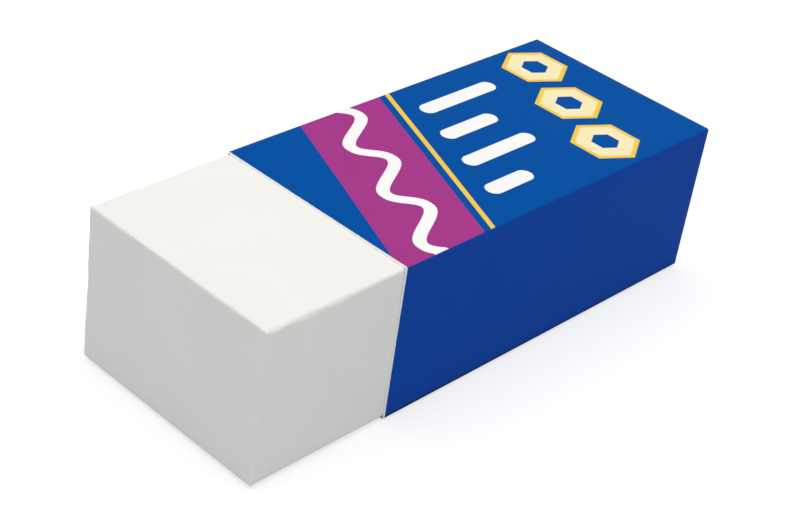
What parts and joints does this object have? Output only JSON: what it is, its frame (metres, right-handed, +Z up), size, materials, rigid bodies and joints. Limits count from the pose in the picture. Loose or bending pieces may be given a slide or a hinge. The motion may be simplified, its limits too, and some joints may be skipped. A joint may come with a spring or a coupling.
{
  "type": "plastic eraser",
  "caption": "Small rectangular white vinyl eraser block, bare at one end, in a folded and glued card sleeve that slides along it.",
  "frame": {"origin": "on the surface that the sleeve stands on, under the middle of the block", "axes": "+X along the block from the bare rubbing end to the sleeved end, +Y across it from the front to the back, +Z up"},
  "size_m": [0.0486, 0.0188, 0.0135],
  "materials": {
    "white_vinyl": "matte",
    "printed_card": "satin"
  },
  "bodies": {
    "block": {"eraser_block": "white_vinyl"},
    "sleeve": {"card_sleeve": "printed_card"}
  },
  "joints": [
    {"name": "sleeve_slide", "type": "slide", "parent": "block", "child": "sleeve", "axis": [1, 0, 0], "range_m": [-0.0128, 0.03]}
  ]
}
